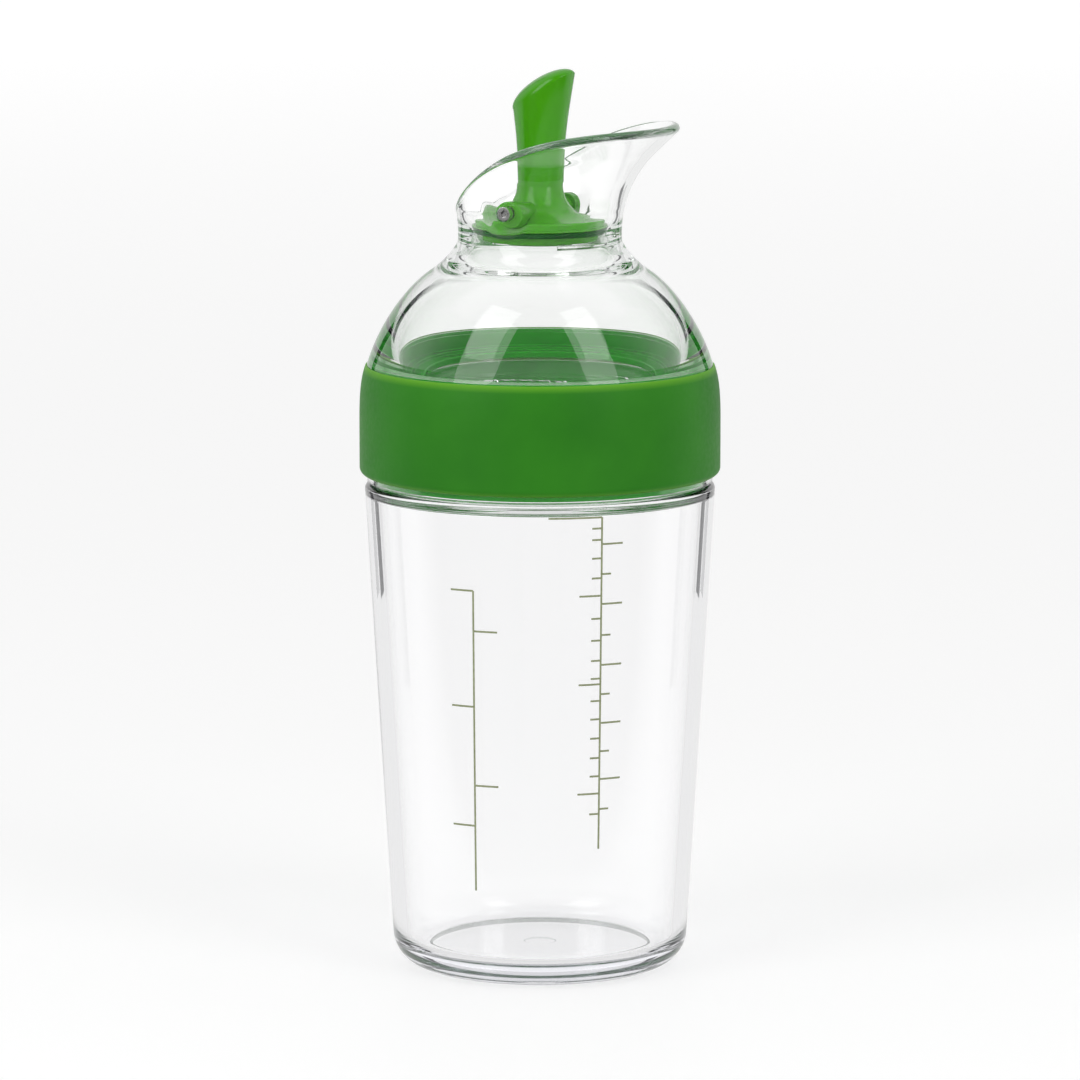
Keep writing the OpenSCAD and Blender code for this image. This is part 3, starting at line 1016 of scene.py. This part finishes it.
def wall_in(angle, z):
    """The spout's inside radius in one direction, with the faint groove that the pin slides down."""
    r = spout_inside(z)
    if z <= hinge_z - GROOVE_R - 1:
        return r
    off = math.hypot(r * math.cos(angle), min(0, z - hinge_z))
    share = clamp((GROOVE_R + GROOVE_EDGE / 2 - off) / GROOVE_EDGE)
    share *= clamp((hinge_z + GROOVE_H - z) / 2)
    return r + GROOVE_DEPTH * soft_step(share)


def spout_outline(t):
    """The spout's outside, rounded rim and inside in one direction, down to the top of the stop ledge."""
    edge_z = meets_rim(t, flare)
    lean = math.atan((flare(edge_z) - flare(edge_z - 0.5)) / 0.5)
    top_out = edge_z - RIM_ROUND * math.cos(lean)
    top_in = edge_z + SPOUT_WALL * math.sin(lean) - RIM_ROUND * math.cos(lean)
    low_out = neck_low + 0.4
    outer = []
    inner = []
    for k in range(SPOUT_ROWS + 1):
        z = low_out + (top_out - low_out) * k / SPOUT_ROWS
        outer.append((wall_out(t, z), z))
        z = top_in + (stop_z - top_in) * k / SPOUT_ROWS
        inner.append((wall_in(t, z), z))
    a, b = Vector(outer[-1]), Vector(inner[0])
    rise = Vector((math.sin(lean), math.cos(lean))) * RIM_ROUND
    middle, half = (a + b) / 2, (a - b) / 2
    lip = []
    for k in range(1, LIP_ROWS):
        turn = math.pi * k / LIP_ROWS
        lip.append(tuple(middle + half * math.cos(turn) + rise * math.sin(turn)))
    return outer + lip + inner


def stop_outline(t):
    """The stop ledge's face in one direction, which fades into the wall at the ledge's ends."""
    off = abs(math.degrees(t if t < math.pi else t - 2 * math.pi))
    share = clamp((STOP_HALF_ANGLE + STOP_EASE / 2 - off) / STOP_EASE)
    face = []
    for down in (STOP_EDGE, STOP_ROUND, STOP_T - STOP_ROUND, STOP_T - STOP_EDGE):
        wall = spout_inside(stop_z - down)
        face.append((wall + (STOP_R - wall) * share, stop_z - down))
    return face


def make_dome():
    """Clear dome, neck and flared spout with a rounded slanting rim, and the skirt inside the band."""
    skirt_in = skirt_r - SKIRT_WALL
    waist = (waist_r, waist_z)
    waist_in = (waist_r - WAIST_WALL, waist_z)
    skirt = [(skirt_in, lid_z + 4),
             (skirt_in, lid_z, SKIRT_FILLET),
             (skirt_r, lid_z, SKIRT_FILLET),
             (skirt_r, band_top)]
    outside = eased(skirt)[1:] + [(skirt_r, band_top + 0.1)]
    outside += bend((skirt_r, band_top + BAND_LIP / 2), waist, *DOME_OUT_HANDLES, DOME_CURVE)
    outside += bend(waist, (SPOUT_NECK_R, neck_low), *NECK_OUT_HANDLES, NECK_CURVE)[1:]
    inside = bend((throat_r, throat_z), waist_in, *NECK_IN_HANDLES, NECK_CURVE)
    inside += bend(waist_in, (COLLAR_IN_R, dome_foot), *DOME_IN_HANDLES, DOME_CURVE)[1:]
    inside += [(COLLAR_IN_R, dome_foot - COLLAR_BEVEL - WELD)]
    inside += eased([(COLLAR_IN_R + COLLAR_BEVEL, dome_foot - WELD), (skirt_in, dome_foot - WELD, 0.3),
                     (skirt_in, lid_z + 5)])
    columns = []
    for t in around():
        column = outside + spout_outline(t) + stop_outline(t) + inside
        columns.append([(r * math.cos(t), r * math.sin(t), z) for r, z in column])
    rings = [list(ring) for ring in zip(*columns)]
    dome = skin("dome", rings, True)
    drill(dome, "bore", SPOUT_NECK_R + 6, pin_r + PIN_FIT)
    return dome


def make_pin():
    """Steel pin with a dimple in each end."""
    return along_y("pin", eased_rod(pin_high.y, pin_r, PIN_ROUND, DIMPLE))


def lever_ring(x, z, fore, side, slope):
    """A sloping oval of the lever, with its half lengths along X and Y and its slope in degrees."""
    s = math.radians(slope)
    return [(x + fore * math.cos(t) * math.cos(s), side * math.sin(t), z + fore * math.cos(t) * math.sin(s))
            for t in around(LEVER_AROUND)]


def disc_outline():
    """Outline of the stopper from its stud over the flared disc to the stem's foot."""
    join_z = hinge_z + FOOT_RISE
    flat_r = tier_r - DISC_EDGE
    top = seal_z + FIT_GAP
    disc = eased([(0, seal_z - STUD_H),
                  (STUD_R, seal_z - STUD_H, 0.2),
                  (STUD_R, top),
                  (SPIGOT_R, top),
                  (SPIGOT_R, flange_z),
                  (flange_r, flange_z, 0.2),
                  (flange_r, tier_z, 0.25),
                  (tier_r, tier_z, 0.12),
                  (tier_r, tier_top, 0.5),
                  (flat_r, tier_top)])
    return disc + bend((flat_r, tier_top), (STEM_HALF + FOOT_PROUD, join_z), *DISC_HANDLES, DISC_CURVE)[1:]


def make_lever():
    """Lever, flared disc and hinge barrels, as one smooth moulding."""
    rings = turned(disc_outline(), LEVER_AROUND)
    low = hinge_z + STEM_LOW
    slope = math.radians(HEAD_SLOPE)
    crown_z = lever_top - math.hypot(CAP_H * math.cos(slope), HEAD_HALF * math.sin(slope))
    for k in range(1, STEM_ROWS + 1):
        t = k / STEM_ROWS
        s = t ** SWELL_POWER
        z = low + (crown_z - low) * t
        if z < hinge_z + FOOT_RISE + STEM_CLEAR:
            continue
        x = STEM_X + (CROWN_X - STEM_X) * s
        fore = STEM_HALF + (HEAD_HALF - STEM_HALF) * s
        rings.append(lever_ring(x, z, fore, STEM_HALF + HEAD_SWELL * t, HEAD_SLOPE * t ** SLOPE_POWER))
    for k in range(1, CAP_ROWS):
        a = math.pi / 2 * k / CAP_ROWS
        share = math.cos(a)
        lift = CAP_H * math.sin(a)
        x = CROWN_X - lift * math.sin(slope)
        z = crown_z + lift * math.cos(slope)
        rings.append(lever_ring(x, z, HEAD_HALF * share, (STEM_HALF + HEAD_SWELL) * share, HEAD_SLOPE))
    rings.append([(CROWN_X - CAP_H * math.sin(slope), 0, crown_z + CAP_H * math.cos(slope))])
    lever = skin("lever", rings)
    barrel = along_y("barrel", eased_rod(BARREL_HALF, BARREL_R, 0.1))
    end = eased_rod(BARREL_END_L / 2, BARREL_END_R, 0.25)
    ends = [along_y("barrel_end", end, side * (BARREL_HALF - BARREL_END_L / 2)) for side in (-1, 1)]
    unite(lever, barrel, *ends)
    drill(lever, "bore", BARREL_HALF + 2, pin_r + PIN_PLAY)
    return lever


def make_seal():
    """Seal ring under the stopper's flange."""
    inner = SPIGOT_R + FIT_GAP
    outline = [(inner, seal_low.z), (seal_r, seal_low.z, SEAL_BEVEL), (seal_r, seal_high.z, SEAL_BEVEL),
               (inner, seal_high.z)]
    return lathe("stopper_seal", eased(outline), True)


def make_plug():
    """Plug that snaps on the stopper's stud, with a small hub beneath."""
    hub_z = seal_z - STUD_H - FIT_GAP - HUB_T
    stud = STUD_R + FIT_GAP
    outline = [(0, hub_z),
               (HUB_R, hub_z, 0.3),
               (HUB_R, plug_z, 0.15),
               (plug_high.x, plug_z, 0.3),
               (plug_high.x, seal_z, 0.25),
               (stud, seal_z, 0.1),
               (stud, hub_z + HUB_T, 0.05),
               (0, hub_z + HUB_T)]
    return lathe("plug", eased(outline))


def make_pieces():
    """All the pieces, each with its material, body and CAD node."""
    clear = clear_plastic("clear_plastic", CUP_TINT, density=15, shadow=CUP_SHADOW)
    dome_clear = clear_plastic("clear_lid_plastic", DOME_TINT, density=8, shadow=DOME_SHADOW)
    bright = moulded_plastic("bright_plastic", BRIGHT_TONES, rough=0.2, glow=0.1, shine=0.5)
    inner = moulded_plastic("inner_plastic", INNER_TONES, rough=0.22, glow=0.05, painted_bore_glow=BORE_PAINTED_GLOW)
    silicone = moulded_plastic("pale_silicone", SILICONE_TONES, rough=0.45, glow=0.3)
    seal = moulded_plastic("seal_rubber", SEAL_TONES, rough=0.4)
    give(make_bottle(), clear, "clear_plastic", "bottle", "bottle_body")
    give(make_print(), print_ink("print_ink"), "dark_seal", "bottle")
    give(make_gasket(), silicone, "pale_silicone", "seal_ring", "lid_gasket")
    give(make_collar(), inner, "green_plastic", "lid", "lid_collar")
    give(make_band(), band_rubber("grip_rubber"), "soft_band", "lid", "grip_band")
    give(make_dome(), dome_clear, "clear_plastic", "lid", "pour_dome")
    give(make_pin(), steel("pin_steel"), "steel", "lid", "hinge_pin")
    give(make_lever(), bright, "bright_plastic", "stopper", "stopper_lever")
    give(make_seal(), seal, "dark_seal", "stopper", "stopper_gasket")
    give(make_plug(), bright, "bright_plastic", "stopper", "stopper_plug")


# Studio

def make_camera():
    """The photograph's camera, as fitted to its ellipses and heights."""
    data = bpy.data.cameras.new("camera")
    data.lens = FOCAL_PX / PHOTO_PX * SENSOR_MM
    data.sensor_width = SENSOR_MM
    data.clip_start = 0.05
    camera = bpy.data.objects.new("camera", data)
    a = math.radians(CAMERA_AZIMUTH)
    away = CAMERA_DISTANCE * MM
    camera.location = (away * math.sin(a), -away * math.cos(a), CAMERA_HEIGHT * MM)
    camera.rotation_euler = (math.radians(90 - CAMERA_PITCH), 0, a)
    bpy.context.scene.collection.objects.link(camera)
    bpy.context.scene.camera = camera


def make_floor():
    """A wide pale floor that shows white, keeps a share of the shadow, and mirrors as the studio does."""
    half = FLOOR_HALF
    corners = [(x, y, -FLOOR_DROP) for x, y in ((-half, -half), (half, -half), (half, half), (-half, half))]
    mesh = bpy.data.meshes.new("floor")
    mesh.from_pydata(corners, [], [(0, 1, 2, 3)])
    floor = bpy.data.objects.new("floor", mesh)
    bpy.context.scene.collection.objects.link(floor)
    m = Nodes("floor")
    m.set(Base_Color=(0.8, 0.8, 0.8, 1), Roughness=0.6, Specular_IOR_Level=0.2)
    away = m.add("VectorMath", operation="LENGTH")
    m.link(m.place, away.inputs[0])
    level = m.span(away.outputs["Value"], FLOOR_NEAR, FLOOR_FAR, FLOOR_WHITE, FLOOR_WHITE_FAR)
    through = m.add("LightPath").outputs["Is Transmission Ray"]
    lift = m.span(through, 0, 1, 0, CLEAR_LIFT / FLOOR_SHARE)
    white = m.add("Emission")
    m.link(m.calc("ADD", level, lift), white.inputs["Strength"])
    share = m.calc("MULTIPLY", m.straight(), FLOOR_SHARE)
    seen = m.split(share, m.shader.outputs["BSDF"], white.outputs["Emission"])
    mirror = m.add("Emission")
    m.link(m.studio_level(m.forward(m.place), *FLOOR_TURN), mirror.inputs["Strength"])
    m.link(m.split(m.mirrored(), seen, mirror.outputs["Emission"]), m.output.inputs["Surface"])
    mesh.materials.append(m.material)


def make_world():
    """White to look at, soft as a lamp, and dark on the camera's side where it is mirrored."""
    world = bpy.data.worlds.new("studio")
    bpy.context.scene.world = world
    world.use_nodes = True
    m = Tree(world.node_tree)
    back = m.tree.nodes["Background"]
    back.inputs["Color"].default_value = (1, 1, 1, 1)
    direction = m.add("TexCoord").outputs["Generated"]
    side = m.studio_level(m.forward(direction), *WORLD_TURN)
    mirror = m.mirrored()
    lamp = m.span(m.straight(), 0, 1, LAMP_LEVEL, 1)
    rest = m.calc("MULTIPLY", lamp, m.span(mirror, 0, 1, 1, 0))
    through = m.add("LightPath").outputs["Is Transmission Ray"]
    lift = m.calc("MULTIPLY", m.calc("MULTIPLY", m.straight(), through), CLEAR_LIFT)
    rest = m.calc("ADD", rest, lift)
    m.link(m.calc("ADD", rest, m.calc("MULTIPLY", side, mirror)), back.inputs["Strength"])


def soft_box(name, azimuth, width):
    """A tall rectangular lamp at an azimuth from the camera, aimed at the lid."""
    data = bpy.data.lights.new(name, "AREA")
    data.shape = "RECTANGLE"
    data.size = width
    data.size_y = BOX_TALL
    data.energy = BOX_RADIANCE * math.pi * width * BOX_TALL
    lamp = bpy.data.objects.new(name, data)
    a = math.radians(CAMERA_AZIMUTH + azimuth)
    lamp.location = (BOX_DISTANCE * math.sin(a), -BOX_DISTANCE * math.cos(a), BOX_HEIGHT)
    aim = Vector((0, 0, BOX_AIM_Z)) - lamp.location
    lamp.rotation_euler = aim.to_track_quat("-Z", "Y").to_euler()
    lamp.visible_camera = False
    bpy.context.scene.collection.objects.link(lamp)


def flag(name, azimuth):
    """A tall dark card at an azimuth from the background's middle, which only mirrored light sees."""
    steps = 6
    verts = []
    faces = []
    for k in range(steps + 1):
        a = math.radians(CAMERA_AZIMUTH + 180 + azimuth + FLAG_SPREAD * (k / steps - 0.5))
        x = FLAG_DISTANCE * math.sin(a)
        y = -FLAG_DISTANCE * math.cos(a)
        verts += [(x, y, 0.0), (x, y, FLAG_TALL)]
    for k in range(steps):
        faces.append((2 * k, 2 * k + 2, 2 * k + 3, 2 * k + 1))
    mesh = bpy.data.meshes.new(name)
    mesh.from_pydata(verts, [], faces)
    card = bpy.data.objects.new(name, mesh)
    bpy.context.scene.collection.objects.link(card)
    m = Nodes(name)
    dark = m.add("Emission")
    dark.inputs["Color"].default_value = FLAG_DARK
    unseen = m.add("BsdfTransparent")
    either = m.split(m.mirrored(), unseen.outputs["BSDF"], dark.outputs["Emission"])
    m.link(either, m.output.inputs["Surface"])
    mesh.materials.append(m.material)
    for ray in ("camera", "diffuse", "shadow"):
        setattr(card, "visible_" + ray, False)


bpy.context.scene.view_settings.view_transform = "Standard"
# Light meets more clear walls on its way than Cycles' default limits allow
for kind in ("max", "glossy", "transmission"):
    setattr(bpy.context.scene.cycles, kind + "_bounces", LIGHT_BOUNCES)
make_camera()
make_pieces()
make_floor()
make_world()
flag("left_flag", -FLAG_AZIMUTH)
flag("right_flag", FLAG_AZIMUTH)
soft_box("left_box", azimuth=-47, width=0.62)
soft_box("right_box", azimuth=44, width=0.5)
